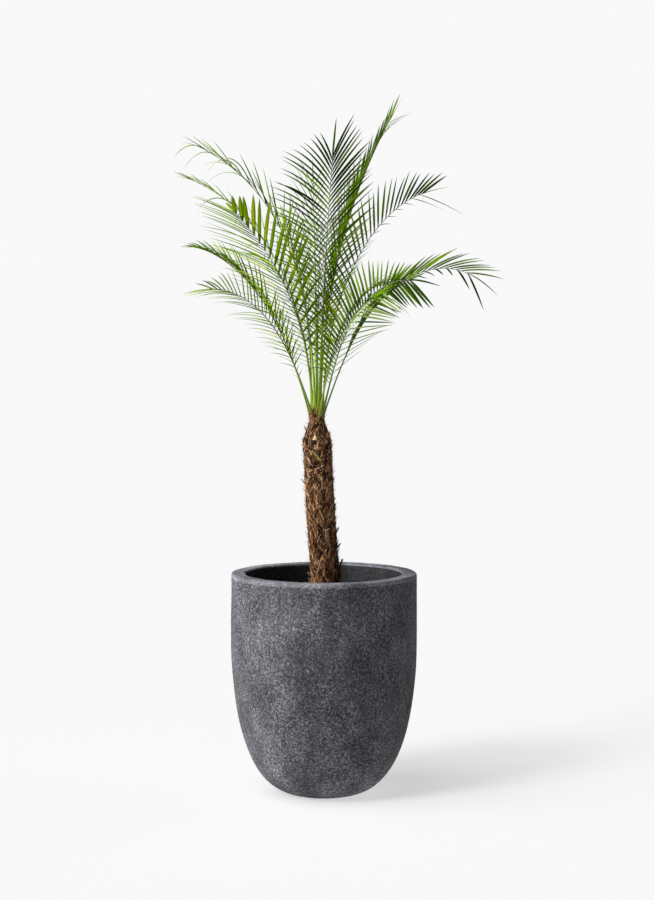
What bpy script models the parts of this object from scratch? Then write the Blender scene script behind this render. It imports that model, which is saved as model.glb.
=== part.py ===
"""Pygmy date palm in a tall round planter, modelled at its real size.

Metres, +Z up. The origin is the middle of the planter's flat underside. -Y is the side towards
which the plant shows its face, +X is to its right.
"""
import math
from collections import namedtuple

import bmesh
import bpy
import numpy as np
from mathutils import Vector
from mathutils.bvhtree import BVHTree

GAP = 0.0003
WELD = 0.00001

# Planter: a turned shell of cement and fibre with a thick flat rim
POT_HEIGHT = 0.456
POT_RADIUS = 0.190
POT_FOOT_RADIUS = 0.071
POT_FOOT_BEVEL = 0.003
POT_RISE_ANGLE = math.radians(15)
POT_LOWER_PULL = 0.141
POT_UPPER_PULL = 0.080
POT_SHOULDER = 0.423
POT_WALL = 0.030
POT_FLOOR = 0.034
POT_FLOOR_COVE = 0.006
POT_RIM_ROUND = 0.005
POT_STEPS = 36
POT_WALL_POINTS = 10

# Soil filling
SOIL_LEVEL = 0.388
SOIL_WALL_STOP = 0.010

# Trunk: a leaning column clad in old leaf bases
TRUNK_FOOT = SOIL_LEVEL + GAP
TRUNK_TOP = 0.796
TRUNK_FOOT_X = 0.008
TRUNK_LEAN_X = -0.0235
TRUNK_BOW_X = -0.004
TRUNK_RADIUS = 0.0275
TRUNK_FLARE = 0.0045
TRUNK_FLARE_HEIGHT = 0.03
TRUNK_SHOULDER = 0.728
TRUNK_SHOULDER_START = 1.1
TRUNK_SHOULDER_END = 1.25
TRUNK_CROWN_RADIUS = 0.0065
TRUNK_CUT = 0.005
TRUNK_RINGS = 18

# Old leaf bases up the trunk
BOOT_COUNT = 44
BOOT_LOWEST = 0.400
BOOT_HIGHEST = 0.738
BOOT_LENGTH = 0.026
BOOT_WIDTH = 0.0105
BOOT_DEPTH = 0.0044
BOOT_TOP_SHARE = 0.45
BOOT_SUNK = 0.0045
BOOT_TILT = math.radians(19)
GOLDEN_ANGLE = math.radians(137.5)

# A dry strip of an old leaf base that stands off the trunk's foot
STRIP_FOOT = Vector((0.027, -0.002, 0.408))
STRIP_DIRECTION = Vector((0.21, 0.0, 0.978)).normalized()
STRIP_ACROSS = Vector((0.0, 1.0, 0.0))
STRIP_LENGTH = 0.077

# Spear: the young frond that hasn't opened
SPEAR_FOOT = TRUNK_TOP + GAP
SPEAR_LENGTH = 0.27
SPEAR_RADIUS = 0.0034
SPEAR_TIP_SHARE = 0.25

# Fronds
RIB_RADIUS = 0.0021
RIB_TIP_RADIUS = 0.0008
RIB_POINTS = 13
RIB_STEPS = 96
LEAFLETS_A_SIDE = 15
LEAFLET_WIDTH = 0.0105
LEAFLET_THICKNESS = 0.0018
LEAFLET_KEEL_SHARE = 0.35
LEAFLET_WIDEST = 0.36
LEAFLET_SHORTEST_SHARE = 0.5
LEAFLET_LONGEST_AT = 0.42
LEAFLET_TIP_SHARE = 0.68
LEAFLET_LAST_AT = 0.975
LEAFLET_STAGGER = 0.012
TERMINAL_SUNK = 0.006
LEAFLET_BASE_ANGLE = math.radians(62)
LEAFLET_TIP_ANGLE = math.radians(27)
LEAFLET_KEPT_LENGTHS = (1.0, 0.72, 0.5)
LEAFLET_CLEARANCE = 0.0005

# A frond's figures, in degrees and metres: the direction it leans in, the height of its foot on
# the trunk, its length, its slope at the foot and at the tip, how late it bends, how far it swings
# sideways, the fold of its leaflets out of flat, the roll of both sides round the rib, how wide the
# leaflets spread, the longest leaflet, its sag, and the share of the length that is bare stalk.
Frond = namedtuple("Frond", "lean foot length slope_foot slope_tip late swing fold roll spread leaf sag stalk")
FRONDS = {
    "frond_upright_front": Frond(-66, 0.785, 0.525, 84, 75, 2.4, -5, 12, 0, 1.05, 0.145, 0.10, 0.24),
    "frond_olive_front": Frond(-108, 0.785, 0.41, 90, 53, 0.75, -5, 26, 0, 0.90, 0.112, 0.12, 0.26),
    "frond_upright_back": Frond(94, 0.785, 0.48, 88, 66, 1.5, 0, 24, 0, 0.90, 0.115, 0.08, 0.26),
    "frond_high_right": Frond(43, 0.785, 0.645, 90, 57, 0.97, -9, 60, -20, 0.60, 0.090, 0.02, 0.28),
    "frond_high_left": Frond(158, 0.785, 0.615, 90, 27, 1.8, 25, 44, 20, 0.78, 0.088, 0.22, 0.30),
    "frond_broad_left": Frond(226, 0.785, 0.455, 90, 45, 0.9, -25, 26, 55, 0.95, 0.138, 0.06, 0.24),
    "frond_far_left": Frond(137, 0.778, 0.635, 90, 19, 1.1, 7, 40, 0, 0.80, 0.085, 0.16, 0.32),
    "frond_mid_right": Frond(25, 0.778, 0.59, 88, 13, 1.5, 25, 54, 0, 0.85, 0.098, 0.06, 0.28),
    "frond_side_left": Frond(163, 0.778, 0.47, 73, 12, 1.75, -25, 46, 0, 0.75, 0.090, 0.08, 0.26),
    "frond_low_left": Frond(231, 0.778, 0.43, 64, -2, 1.7, 2, 30, 30, 0.85, 0.085, 0.24, 0.24),
    "frond_long_right": Frond(2, 0.778, 0.49, 71, -24, 2.2, 25, 36, -30, 0.85, 0.110, 0.24, 0.26),
    "frond_brushy_right": Frond(-36, 0.778, 0.375, 74, -5, 2.7, 8, 36, -50, 0.85, 0.090, 0.16, 0.22),
    "frond_low_right": Frond(-60, 0.778, 0.34, 76, 14, 1.2, -4, 34, 0, 0.85, 0.085, 0.16, 0.24),
    "frond_back_left": Frond(113, 0.778, 0.46, 76, 8, 1.5, 0, 34, 0, 0.85, 0.105, 0.14, 0.26),
    "frond_back_middle": Frond(88, 0.778, 0.50, 80, 18, 1.6, 0, 30, 0, 0.85, 0.110, 0.12, 0.26),
    "frond_back_right": Frond(61, 0.778, 0.44, 74, -4, 1.4, 0, 34, 0, 0.85, 0.105, 0.14, 0.26),
}


def material(name, colour, roughness, metallic=0.0):
    """A plain Principled material."""
    finish = bpy.data.materials.new(name)
    finish.use_nodes = True
    shader = finish.node_tree.nodes["Principled BSDF"]
    shader.inputs["Base Color"].default_value = (*colour, 1.0)
    shader.inputs["Roughness"].default_value = roughness
    shader.inputs["Metallic"].default_value = metallic
    return finish


def add_object(name, mesh, collection, finish=None):
    """Link a mesh as a new object and give it its material."""
    piece = bpy.data.objects.new(name, mesh)
    collection.objects.link(piece)
    if finish:
        mesh.materials.append(finish)
    return piece


def add_collection(name):
    """A new collection in the scene."""
    group = bpy.data.collections.new(name)
    bpy.context.scene.collection.children.link(group)
    return group


def turned(name, profile, collection, finish):
    """A profile of (radius, height) pairs, from the middle of the top to the middle of the foot,
    turned round the Z axis."""
    mesh = bpy.data.meshes.new(name)
    edges = [(i, i + 1) for i in range(len(profile) - 1)]
    mesh.from_pydata([(r, 0.0, z) for r, z in profile], edges, [])
    piece = add_object(name, mesh, collection, finish)
    screw = piece.modifiers.new("turn", "SCREW")
    screw.axis = "Z"
    screw.steps = POT_STEPS
    screw.render_steps = POT_STEPS
    screw.use_merge_vertices = True
    screw.merge_threshold = WELD
    return piece


def outer_wall():
    """The planter's outer wall from its foot to its shoulder, a cubic curve."""
    start = np.array([POT_FOOT_RADIUS + POT_FOOT_BEVEL, POT_FOOT_BEVEL * math.tan(POT_RISE_ANGLE)])
    rise = np.array([math.cos(POT_RISE_ANGLE), math.sin(POT_RISE_ANGLE)])
    end = np.array([POT_RADIUS, POT_SHOULDER])
    pull_low = start + POT_LOWER_PULL * rise
    pull_high = end - np.array([0.0, POT_UPPER_PULL])
    s = np.linspace(0.0, 1.0, POT_WALL_POINTS)[:, None]
    return ((1 - s) ** 3 * start + 3 * (1 - s) ** 2 * s * pull_low
            + 3 * (1 - s) * s ** 2 * pull_high + s ** 3 * end)


def inner_wall():
    """The outer wall moved inwards by the wall's thickness, above the floor."""
    wall = outer_wall()
    along = np.gradient(wall, axis=0)
    along /= np.linalg.norm(along, axis=1)[:, None]
    inside = wall + POT_WALL * np.stack([-along[:, 1], along[:, 0]], axis=1)
    return inside[inside[:, 1] > POT_FLOOR + POT_FLOOR_COVE]


def floor_radius():
    """Where the inner wall's lowest stretch, carried on at 45 degrees and more, meets the floor."""
    lowest = inner_wall()[0]
    return lowest[0] - 2 * (lowest[1] - POT_FLOOR)


def rim_arc(radius, height, first, last):
    """A rounded edge of the rim, from one angle to another in degrees."""
    turns = np.radians(np.linspace(first, last, 3))
    return [(radius + POT_RIM_ROUND * math.cos(a), height + POT_RIM_ROUND * math.sin(a)) for a in turns]


def make_pot(collection):
    """The planter: floor, inner wall, rounded rim, outer wall, flat foot."""
    clay = material("charcoal_fibre_clay", (0.058, 0.060, 0.064), 0.85)
    inside = [tuple(p) for p in inner_wall()]
    outside = [tuple(p) for p in outer_wall()]
    rim_level = POT_HEIGHT - POT_RIM_ROUND
    inner_rim = rim_arc(POT_RADIUS - POT_WALL + POT_RIM_ROUND, rim_level, 180, 90)
    outer_rim = rim_arc(POT_RADIUS - POT_RIM_ROUND, rim_level, 90, 0)
    profile = [(0.0, POT_FLOOR), (floor_radius(), POT_FLOOR)]
    profile += inside + inner_rim + outer_rim + outside[::-1]
    profile += [(POT_FOOT_RADIUS, 0.0), (0.0, 0.0)]
    turned("pot", profile, collection, clay)


def make_soil(collection):
    """The soil that fills the planter, clear of its wall and floor by the gap."""
    earth = material("dark_soil", (0.030, 0.022, 0.016), 0.95)
    wall = [(r - 2 * GAP, z) for r, z in inner_wall() if z < SOIL_LEVEL - SOIL_WALL_STOP]
    top_radius = np.interp(SOIL_LEVEL, inner_wall()[:, 1], inner_wall()[:, 0]) - 2 * GAP
    floor = POT_FLOOR + GAP
    profile = [(0.0, SOIL_LEVEL), (top_radius, SOIL_LEVEL)] + wall[::-1]
    profile += [(floor_radius() - 4 * GAP, floor), (0.0, floor)]
    turned("soil", profile, collection, earth)


def trunk_centre(z):
    """The middle of the trunk at a height: a lean to one side with a slight bow."""
    level = min(max(z, TRUNK_FOOT + TRUNK_CUT), TRUNK_TOP - TRUNK_CUT)
    t = (level - TRUNK_FOOT) / (TRUNK_TOP - TRUNK_FOOT)
    return Vector((TRUNK_FOOT_X + TRUNK_LEAN_X * t + TRUNK_BOW_X * math.sin(math.pi * t), 0.0, z))


def trunk_radius(z):
    """The trunk's radius at a height: a flare at the foot, a column, and a shoulder that
    draws in to the crown."""
    flare = TRUNK_FLARE * math.exp(-(z - TRUNK_FOOT) / TRUNK_FLARE_HEIGHT)
    above = max(0.0, (z - TRUNK_SHOULDER) / (TRUNK_TOP - TRUNK_SHOULDER))
    kept = (1.0 - above ** TRUNK_SHOULDER_START) ** TRUNK_SHOULDER_END
    return TRUNK_CROWN_RADIUS + (TRUNK_RADIUS + flare - TRUNK_CROWN_RADIUS) * kept


def tube_mesh(name, points, radii, resolution):
    """A tapered tube along points, as a closed mesh."""
    curve = bpy.data.curves.new(name, "CURVE")
    curve.dimensions = "3D"
    curve.bevel_depth = 1.0
    curve.bevel_resolution = resolution
    curve.use_fill_caps = True
    spline = curve.splines.new("POLY")
    spline.points.add(len(points) - 1)
    for knot, point, radius in zip(spline.points, points, radii):
        knot.co = (*point, 1.0)
        knot.radius = radius
    guide = bpy.data.objects.new(name, curve)
    bpy.context.scene.collection.objects.link(guide)
    bpy.context.view_layer.update()
    mesh = bpy.data.meshes.new_from_object(guide.evaluated_get(bpy.context.evaluated_depsgraph_get()))
    bpy.data.objects.remove(guide)
    bpy.data.curves.remove(curve)
    shape = bmesh.new()
    shape.from_mesh(mesh)
    bmesh.ops.remove_doubles(shape, verts=shape.verts, dist=WELD)
    bmesh.ops.recalc_face_normals(shape, faces=shape.faces)
    shape.to_mesh(mesh)
    shape.free()
    return mesh


def join_all(piece, additions):
    """Unite a piece with every object of a collection, then drop that collection."""
    union = piece.modifiers.new("join", "BOOLEAN")
    union.operation = "UNION"
    union.operand_type = "COLLECTION"
    union.collection = additions
    union.solver = "EXACT"
    bpy.context.view_layer.update()
    joined = bpy.data.meshes.new_from_object(piece.evaluated_get(bpy.context.evaluated_depsgraph_get()))
    piece.modifiers.clear()
    piece.data = joined
    for extra in list(additions.objects):
        bpy.data.objects.remove(extra)
    bpy.data.collections.remove(additions)


def boot_mesh(foot, outward):
    """One old leaf base: a four-sided wedge that leans away from the trunk, narrowing upwards."""
    up = Vector((0.0, 0.0, 1.0))
    across = up.cross(outward).normalized()
    lean = (up * math.cos(BOOT_TILT) + outward * math.sin(BOOT_TILT)).normalized()
    depth = lean.cross(across).normalized()
    middle = foot + lean * BOOT_LENGTH / 2
    shape = bmesh.new()
    bmesh.ops.create_cone(shape, cap_ends=True, segments=4, radius1=1.0, radius2=BOOT_TOP_SHARE,
                          depth=BOOT_LENGTH)
    for vertex in shape.verts:
        side, out, height = vertex.co
        vertex.co = middle + across * side * BOOT_WIDTH + depth * out * BOOT_DEPTH + lean * height
    bmesh.ops.recalc_face_normals(shape, faces=shape.faces)
    mesh = bpy.data.meshes.new("boot")
    shape.to_mesh(mesh)
    shape.free()
    return mesh


def make_trunk(collection):
    """The trunk with its spiral of old leaf bases and the dry strip at its foot fused on."""
    bark = material("fibrous_bark", (0.115, 0.060, 0.034), 0.9)
    column = np.linspace(TRUNK_FOOT + TRUNK_CUT, TRUNK_TOP - TRUNK_CUT, TRUNK_RINGS)
    heights = [TRUNK_FOOT, *column, TRUNK_TOP]
    core = tube_mesh("trunk", [trunk_centre(z) for z in heights], [trunk_radius(z) for z in heights], 4)
    trunk = add_object("trunk", core, collection, bark)
    boots = add_collection("boots")
    for i in range(BOOT_COUNT):
        z = BOOT_LOWEST + (BOOT_HIGHEST - BOOT_LOWEST - BOOT_LENGTH) * i / (BOOT_COUNT - 1)
        turn = i * GOLDEN_ANGLE
        outward = Vector((math.cos(turn), math.sin(turn), 0.0))
        foot = trunk_centre(z) + outward * (trunk_radius(z) - BOOT_SUNK)
        add_object(f"boot_{i:02d}", boot_mesh(foot, outward), boots)
    add_object("strip", leaflet_mesh(STRIP_FOOT, STRIP_DIRECTION, STRIP_ACROSS, STRIP_LENGTH, 0.0), boots)
    join_all(trunk, boots)
    return trunk


def make_spear(collection):
    """The unopened young frond, a slim spike standing on the trunk's tip."""
    young = material("young_frond_green", (0.20, 0.34, 0.07), 0.5)
    foot = trunk_centre(SPEAR_FOOT)
    shape = bmesh.new()
    bmesh.ops.create_cone(shape, cap_ends=True, segments=6, radius1=SPEAR_RADIUS,
                          radius2=SPEAR_RADIUS * SPEAR_TIP_SHARE, depth=SPEAR_LENGTH)
    mesh = bpy.data.meshes.new("spear")
    shape.to_mesh(mesh)
    shape.free()
    spear = add_object("spear", mesh, collection, young)
    spear.location = (foot.x, foot.y, SPEAR_FOOT + SPEAR_LENGTH / 2)
    return spear


def rib_frame(frond, count):
    """Points along a frond's rib, with its tangent, side and upper directions there. The slope
    changes from foot to tip with the share of the length raised to a power, the heading with the
    share itself, and the rib is the running sum of short steps along them."""
    share = (np.arange(RIB_STEPS) + 0.5) / RIB_STEPS
    slope = np.radians(frond.slope_foot + (frond.slope_tip - frond.slope_foot) * share ** frond.late)
    heading = np.radians(frond.lean + frond.swing * share)
    step = np.stack([np.cos(slope) * np.cos(heading), np.cos(slope) * np.sin(heading), np.sin(slope)], 1)
    lean, tilt = math.radians(frond.lean), math.radians(frond.slope_foot)
    nearest = frond.foot + RIB_RADIUS * math.cos(tilt)
    out = trunk_radius(nearest) + RIB_RADIUS * math.sin(tilt) + 2 * GAP
    start = np.array(trunk_centre(frond.foot)) + out * np.array([math.cos(lean), math.sin(lean), 0.0])
    line = np.vstack([start, start + np.cumsum(step * frond.length / RIB_STEPS, axis=0)])
    at = np.linspace(0, RIB_STEPS, count)
    knots = np.arange(RIB_STEPS + 1)
    points = np.stack([np.interp(at, knots, line[:, k]) for k in range(3)], 1)
    middles = np.arange(RIB_STEPS) + 0.5
    tangent = np.stack([np.interp(at, middles, step[:, k]) for k in range(3)], 1)
    tangent /= np.linalg.norm(tangent, axis=1)[:, None]
    turn = np.interp(at, middles, heading)
    side = np.stack([-np.sin(turn), np.cos(turn), np.zeros(count)], 1)
    upper = np.cross(tangent, side)
    upper /= np.linalg.norm(upper, axis=1)[:, None]
    roll = math.radians(frond.roll)
    rolled_side = side * math.cos(roll) + upper * math.sin(roll)
    rolled_upper = upper * math.cos(roll) - side * math.sin(roll)
    return points, tangent, rolled_side, rolled_upper


def leaflet_length(share, longest):
    """Leaflets grow along a sine to full length just before mid frond, then shorten with the
    square of the share to their length at the tip."""
    if share < LEAFLET_LONGEST_AT:
        grown = math.sin(math.pi / 2 * share / LEAFLET_LONGEST_AT)
        return longest * (LEAFLET_SHORTEST_SHARE + (1 - LEAFLET_SHORTEST_SHARE) * grown)
    past = (share - LEAFLET_LONGEST_AT) / (1 - LEAFLET_LONGEST_AT)
    return longest * (1 - (1 - LEAFLET_TIP_SHARE) * past ** 2)


def leaflet_mesh(root, direction, across, length, sag, extra=0.0):
    """One leaflet: a thin three-sided blade that widens from a point in the rib to its widest part
    and narrows to its tip, bending down by its sag. Extra makes a fatter copy to test its
    clearance."""
    def place(share):
        return root + direction * (length * share) + Vector((0.0, 0.0, -sag * length * share ** 2))

    normal = direction.cross(across).normalized()
    middle = place(LEAFLET_WIDEST)
    half = across * (LEAFLET_WIDTH / 2 + extra)
    thick = normal * (LEAFLET_THICKNESS + 2 * extra)
    under = middle - thick * LEAFLET_KEEL_SHARE
    shape = bmesh.new()
    corners = (under - half, under + half, under + thick)
    ring = [shape.verts.new(corner) for corner in corners]
    foot = shape.verts.new(root)
    tip = shape.verts.new(place(1.0))
    for i in range(3):
        j = (i + 1) % 3
        shape.faces.new((foot, ring[i], ring[j]))
        shape.faces.new((tip, ring[j], ring[i]))
    bmesh.ops.recalc_face_normals(shape, faces=shape.faces)
    mesh = bpy.data.meshes.new("leaflet")
    shape.to_mesh(mesh)
    shape.free()
    return mesh


def tree_of(mesh):
    """A search tree of a mesh's faces."""
    mesh.calc_loop_triangles()
    faces = [tuple(t.vertices) for t in mesh.loop_triangles]
    return BVHTree.FromPolygons([v.co.copy() for v in mesh.vertices], faces)


def leaflet_places(frond):
    """Every leaflet of a frond as its root, direction, width direction and length, root to tip."""
    last = RIB_STEPS
    tangent, side, upper = rib_frame(frond, last + 1)[1:]
    rib = rib_frame(frond, RIB_POINTS)[0]
    knots = np.linspace(0, 1, RIB_POINTS)
    fold = math.radians(frond.fold)
    places = []
    for i in range(LEAFLETS_A_SIDE):
        share = i / (LEAFLETS_A_SIDE - 1)
        spread = frond.spread * (LEAFLET_BASE_ANGLE + (LEAFLET_TIP_ANGLE - LEAFLET_BASE_ANGLE) * share)
        for hand in (-1, 1):
            stagger = LEAFLET_STAGGER if hand > 0 else 0.0
            along = frond.stalk + (1 - frond.stalk) * (share * LEAFLET_LAST_AT + stagger)
            k = min(last, round(along * last))
            root = Vector([np.interp(along, knots, rib[:, axis]) for axis in range(3)])
            t = Vector(tangent[k])
            outward = Vector(side[k]) * hand * math.cos(fold) + Vector(upper[k]) * math.sin(fold)
            direction = (t * math.cos(spread) + outward * math.sin(spread)).normalized()
            across = (t - direction * t.dot(direction)).normalized()
            places.append((root, direction, across, leaflet_length(share, frond.leaf)))
    t = Vector(tangent[-1])
    places.append((Vector(rib[-1]) - t * TERMINAL_SUNK, t, Vector(side[-1]), leaflet_length(1.0, frond.leaf)))
    return places


def make_fronds(collection, standing):
    """Every frond: first all ribs, then the leaflets that keep clear of every other frond and of
    the meshes that already stand there. A leaflet that has no room is tried shorter, then left out."""
    green = material("frond_green", (0.075, 0.170, 0.035), 0.5)
    radii = np.linspace(RIB_RADIUS, RIB_TIP_RADIUS, RIB_POINTS)
    ribs = {name: tube_mesh(name, rib_frame(frond, RIB_POINTS)[0], radii, 0)
            for name, frond in FRONDS.items()}
    occupied = {name: [tree_of(rib)] for name, rib in ribs.items()}
    occupied["standing"] = [tree_of(mesh) for mesh in standing]
    for name, frond in FRONDS.items():
        piece = add_object(name, ribs[name], collection, green)
        blades = add_collection(name + "_blades")
        others = [tree for other, trees in occupied.items() if other != name for tree in trees]
        for root, direction, across, length in leaflet_places(frond):
            for share in LEAFLET_KEPT_LENGTHS:
                kept = length * share
                tester = leaflet_mesh(root, direction, across, kept, frond.sag, LEAFLET_CLEARANCE)
                probe = tree_of(tester)
                bpy.data.meshes.remove(tester)
                if not any(probe.overlap(tree) for tree in others):
                    blade = leaflet_mesh(root, direction, across, kept, frond.sag)
                    add_object("blade", blade, blades)
                    occupied[name].append(tree_of(blade))
                    break
        join_all(piece, blades)


def clear_scene():
    """Start from an empty scene."""
    for old in list(bpy.data.objects):
        bpy.data.objects.remove(old)


def main():
    """Build the whole plant and its planter."""
    clear_scene()
    palm = add_collection("pygmy_date_palm")
    make_pot(palm)
    make_soil(palm)
    trunk = make_trunk(palm)
    spear = make_spear(palm)
    bpy.context.view_layer.update()
    spike = spear.data.copy()
    spike.transform(spear.matrix_world)
    make_fronds(palm, [trunk.data, spike])
    bpy.data.meshes.remove(spike)


main()
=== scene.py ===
"""The looks of the potted palm: clay planter, soil, fibrous trunk and finely feathered fronds.

Every new piece is a surface worked out with numpy, in metres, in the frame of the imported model.
"""
import math
from collections import namedtuple

import bpy
import numpy as np
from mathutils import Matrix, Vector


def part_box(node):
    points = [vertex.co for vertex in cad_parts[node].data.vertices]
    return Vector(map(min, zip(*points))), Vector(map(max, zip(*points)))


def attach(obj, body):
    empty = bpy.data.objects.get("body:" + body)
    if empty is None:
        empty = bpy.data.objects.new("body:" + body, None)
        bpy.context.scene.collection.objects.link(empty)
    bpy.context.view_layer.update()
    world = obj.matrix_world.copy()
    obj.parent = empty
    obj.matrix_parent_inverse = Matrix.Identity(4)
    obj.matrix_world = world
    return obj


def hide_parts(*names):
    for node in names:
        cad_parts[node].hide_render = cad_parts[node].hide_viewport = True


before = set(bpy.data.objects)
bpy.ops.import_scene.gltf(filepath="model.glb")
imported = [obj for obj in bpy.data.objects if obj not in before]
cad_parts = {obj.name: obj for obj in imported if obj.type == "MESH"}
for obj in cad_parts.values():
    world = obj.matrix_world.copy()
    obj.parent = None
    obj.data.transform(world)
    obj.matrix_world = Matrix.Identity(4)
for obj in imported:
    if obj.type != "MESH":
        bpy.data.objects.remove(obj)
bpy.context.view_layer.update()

# Camera, in metres and degrees: level with the crown, looking slightly down
CAMERA_PLACE = (0.0062, -4.506, 1.0168)
CAMERA_PITCH = 3.908
CAMERA_LENS = 88.0
CAMERA_SENSOR = 36.0

# Light: a soft key from the front left that casts the long shadow, a broad bright side on the left
# that leaves the floor alone, an even sky, a faint edge on the right, and a room that looks white.
# Azimuths run from the camera's side towards its right, heights from the floor, and spreads across
# the sun, all in degrees.
Lamp = namedtuple("Lamp", "azimuth height strength spread")
LAMPS = {
    "key": Lamp(-50, 36, 1.15, 18),
    "window": Lamp(-84, 26, 6.3, 44),
    "sky": Lamp(-62, 63, 1.15, 44),
    "edge": Lamp(108, 22, 0.25, 50),
}
ROOM_LIGHT = 0.03
ROOM_TINT = (0.97, 0.985, 1.0)
PAPER_WHITE = (0.945, 0.945, 0.945)
FLOOR_GREY = (0.62, 0.62, 0.62)
FLOOR_GLOW = 0.571
FLOOR_REACH = 400.0
FLOOR_DROP = 0.0004

# Rough fields: seed, number of waves, the most turns of a wave round the axis, the most radians of
# a wave in a metre up it, and the radians that each turn adds to that
Field = namedtuple("Field", "seed count around along slant", defaults=(0.0,))

# Planter. Its wall is one cubic curve from the foot to the shoulder, with a pull at each end, and
# its roughness stays low at the foot and stands out no further than the greatest swell.
POT_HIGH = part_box("pot")[1]
POT_HEIGHT = POT_HIGH.z
POT_RADIUS = POT_HIGH.x
POT_FOOT_RADIUS = 0.071
POT_FOOT_BEVEL = 0.003
POT_RISE_ANGLE = math.radians(15)
POT_LOWER_PULL = 0.141
POT_UPPER_PULL = 0.080
POT_SHOULDER = 0.423
POT_WALL = 0.030
POT_RIM_ROUND = 0.004
POT_INSIDE_FROM = 0.06
POT_FLOOR_MIDDLE = 0.036
POT_FLOOR_EDGE = 0.040
POT_STEPS = 96
POT_INNER_EVERY = 3
POT_TURNS = 320
RIM_ROUND_STEPS = 6
RIM_FLAT_STEPS = 8
POT_MOST_SWELL = 0.001
POT_CALM_FOOT = 0.01
POT_CLOUD = 0.0005
POT_CLOUD_FIELD = Field(11, 24, 14, 60)
POT_GRAIN = 0.00016
POT_GRAIN_FIELD = Field(12, 40, 90, 700)
RIM_GRAIN = 0.00024
RIM_GRAIN_FIELD = Field(13, 40, 90, 600)
RIM_DEPTH = 0.002

# Clay: its tones from dark to pale, its pale flecks, how much paler painted bounce light from the floor makes
# its foot at each height in metres, and for each part of the planter its shade and how strong its grain is
CLAY_TONES = ((0.034, 0.034, 0.038), (0.057, 0.058, 0.0645), (0.090, 0.091, 0.100))
CLAY_FLECK = (0.36, 0.36, 0.38)
FOOT_BOUNCE_LIGHT = ((0.0, 1.45), (0.03, 1.35), (0.08, 1.1), (0.12, 1.0))
Clay = namedtuple("Clay", "shade grain")
CLAYS = {
    # The inside is darkened with painted shade and the rim lightened with painted light from above; the body
    # keeps its own shade
    "charcoal_clay_inside_painted_shade": Clay(0.30, 0.6),
    "charcoal_clay_rim_painted_light": Clay(2.2, 0.45),
    "charcoal_clay": Clay(0.92, 1.0),
}

# Soil, with its crumbs
SOIL_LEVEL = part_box("soil")[1].z
SOIL_SINK = 0.004
SOIL_SKIRT = 0.03
SOIL_WALL_GAP = 0.0015
SOIL_TURNS = 144
SOIL_RINGS = 46
SOIL_FIRST_RING = 0.01
SOIL_CALM_MIDDLE = 0.02
SOIL_RELIEF = 0.00245
SOIL_LUMP_FIELD = Field(21, 30, 18, 260)
SOIL_GRAIN_FIELD = Field(22, 40, 50, 900)
SOIL_TONES = ((0.35, (0.010, 0.007, 0.005)), (0.55, (0.034, 0.022, 0.014)), (0.75, (0.085, 0.055, 0.034)))
CRUMB_SEED = 23
CRUMB_COUNT = 1100
CRUMB_SIZES = (0.0012, 0.0042)
CRUMB_WIDTHS = (0.35, 1.0, 0.9, 0.3)
CRUMB_HEIGHTS = (-0.7, -0.3, 0.3, 0.65)
CRUMB_SINK = 0.002
CRUMB_AREA = (0.05, 0.9)
CRUMB_RAGGED = (0.6, 1.3)
CRUMB_STRETCH = (0.5, 1.6)
CRUMB_FLATTENED = (1.2, 1.2, 0.8)
CRUMB_COLOURS = {
    "black": (0.012, 0.008, 0.006),
    "brown": (0.050, 0.030, 0.018),
    "tan": (0.140, 0.085, 0.045),
}
CRUMB_SHARES = (0.5, 0.38, 0.12)

# Trunk, which leans and bows towards the left and narrows from its shoulder to its crown
TRUNK_FOOT, TRUNK_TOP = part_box("trunk")[0].z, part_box("trunk")[1].z
TRUNK_FOOT_X = 0.008
TRUNK_LEAN_X = -0.0235
TRUNK_BOW_X = -0.004
TRUNK_RADIUS = 0.0275
TRUNK_FLARE = 0.0045
TRUNK_FLARE_HEIGHT = 0.03
TRUNK_SHOULDER = 0.728
TRUNK_SHOULDER_START = 1.1
TRUNK_SHOULDER_END = 1.25
TRUNK_CROWN_RADIUS = 0.0065
TRUNK_SINK = 0.004
TRUNK_TURNS = 224
TRUNK_RINGS = 330
BARK_LUMP = 0.0010
BARK_LUMP_FIELD = Field(31, 30, 26, 500, 6)
BARK_STREAK = 0.0007
BARK_STREAK_FIELD = Field(32, 40, 60, 1400)
BARK_SINK = 0.0008
BARK_TONES = ((0.34, (0.018, 0.008, 0.005)), (0.52, (0.085, 0.036, 0.018)), (0.70, (0.230, 0.120, 0.060)))

# Old leaf bases
GOLDEN_ANGLE = math.radians(137.5)
BASE_SEED = 41
BASE_COUNT = 620
BASE_TOP = 0.780
BASE_STATIONS = 7
BASE_SMALLEST = 0.35
BASE_NARROWS = 0.55
BASE_RAGGED = 0.28
BASE_WAVY = 0.2
BASE_LEAN = 0.45
BASE_SINK = 0.0010
BASE_THICKNESS = 0.0016
BASE_ROUGHNESS = 0.0004
BASE_LENGTHS = (0.008, 0.019)
BASE_LIFTS = (0.0, 0.24)
BASE_HALF_WIDTHS = (0.0022, 0.0056)
BASE_COLOURS = {
    "red_brown": (0.150, 0.055, 0.022),
    "dark": (0.026, 0.012, 0.007),
    "tan": (0.360, 0.200, 0.095),
    "grey_brown": (0.120, 0.080, 0.048),
    "rust": (0.230, 0.095, 0.034),
    "pinkish": (0.260, 0.140, 0.088),
}
BASE_SHARES = (0.26, 0.26, 0.15, 0.11, 0.14, 0.08)

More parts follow.
